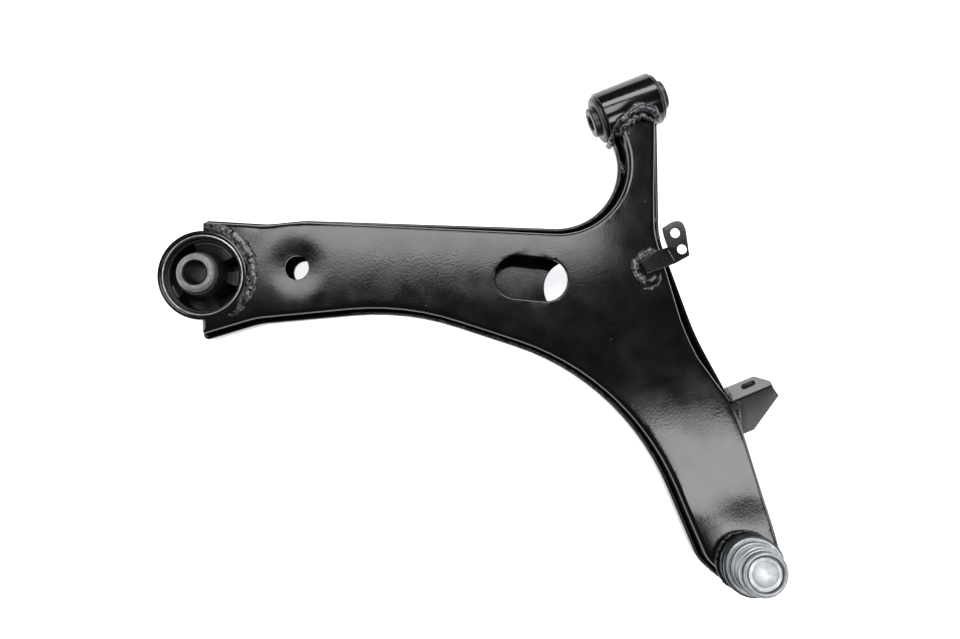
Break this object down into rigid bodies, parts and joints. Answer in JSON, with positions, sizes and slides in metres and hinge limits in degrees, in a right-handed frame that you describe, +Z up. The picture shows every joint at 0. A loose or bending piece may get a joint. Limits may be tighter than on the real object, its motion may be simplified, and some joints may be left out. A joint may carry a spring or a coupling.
{
  "type": "front lower control arm",
  "caption": "Welded box-section suspension arm with an upright rear bush, a lying front bush, a pinch-clamp ball joint and two welded brackets.",
  "frame": {"origin": "centre of the rear bush, on its bolt bore and on the arm's pivot axis", "axes": "+X along the pivot axis from the rear bush to the front bush, +Y away from the ball joint, +Z up out of the upper shell, along the rear bush's bolt bore"},
  "size_m": [0.4185, 0.4274, 0.1101],
  "materials": {
    "shell_coat": "semi-gloss black electro-dip coat over pressed steel",
    "ring_coat": "semi-gloss black electro-dip coat over turned steel",
    "bracket_coat": "semi-gloss black electro-dip coat over bent sheet",
    "weld_coat": "black coat over rippled weld bead",
    "sleeve_steel": "bright drawn steel sleeve",
    "phosphated_steel": "grey phosphated steel sleeve",
    "bush_rubber": "moulded natural rubber",
    "boot_rubber": "moulded chloroprene rubber",
    "zinc_plate": "bright zinc plated turned steel",
    "stud_steel": "ground steel",
    "seat_plastic": "moulded acetal liner"
  },
  "bodies": {
    "arm": {"upper_shell": "shell_coat", "lower_shell": "shell_coat", "rear_bush_ring": "ring_coat", "rear_bush_outer_sleeve": "sleeve_steel", "rear_bush_rubber": "bush_rubber", "rear_ring_weld": "weld_coat", "front_bush_tube": "ring_coat", "front_bush_outer_sleeve": "sleeve_steel", "front_bush_rubber": "bush_rubber", "front_tube_weld": "weld_coat", "front_seam_weld": "weld_coat", "rear_seam_weld": "weld_coat", "ball_joint_boss": "ring_coat", "ball_joint_boss_weld": "weld_coat", "ball_stud": "stud_steel", "castle_nut": "zinc_plate", "cotter_pin": "zinc_plate", "ball_joint_boot": "boot_rubber", "boot_clip": "stud_steel", "harness_bracket": "bracket_coat", "harness_bracket_weld": "weld_coat", "stabiliser_bracket": "bracket_coat", "stabiliser_bracket_weld": "weld_coat"},
    "rear_sleeve": {"rear_bush_inner_sleeve": "phosphated_steel"},
    "front_sleeve": {"front_bush_inner_sleeve": "phosphated_steel"},
    "ball_seat": {"ball_joint_seat": "seat_plastic"},
    "boot_band": {"boot_ring": "zinc_plate"},
    "ball_housing": {"ball_joint_housing": "zinc_plate", "ball_joint_cap": "zinc_plate"}
  },
  "joints": [
    {"name": "rear_bush_tilt", "type": "hinge", "parent": "arm", "child": "rear_sleeve", "pos_m": [0, 0, 0], "axis": [1, 0, 0], "range_deg": [-12, 12], "stiffness_Nm_per_rad": 20, "deforming": ["rear_bush_rubber"]},
    {"name": "front_bush_twist", "type": "hinge", "parent": "arm", "child": "front_sleeve", "pos_m": [0.3535, 0, 0], "axis": [1, 0, 0], "range_deg": [-20, 20], "stiffness_Nm_per_rad": 5},
    {"name": "ball_tilt_x", "type": "hinge", "parent": "arm", "child": "ball_seat", "pos_m": [0.296, -0.352, 0.048], "axis": [1, 0, 0], "range_deg": [-17, 17], "deforming": ["ball_joint_boot"]},
    {"name": "ball_tilt_y", "type": "hinge", "parent": "ball_seat", "child": "boot_band", "pos_m": [0.296, -0.352, 0.048], "axis": [0, 1, 0], "range_deg": [-17, 17], "deforming": ["ball_joint_boot"]},
    {"name": "ball_spin", "type": "hinge", "parent": "boot_band", "child": "ball_housing", "pos_m": [0.296, -0.352, 0.048], "axis": [0, 0, 1], "continuous": true}
  ]
}
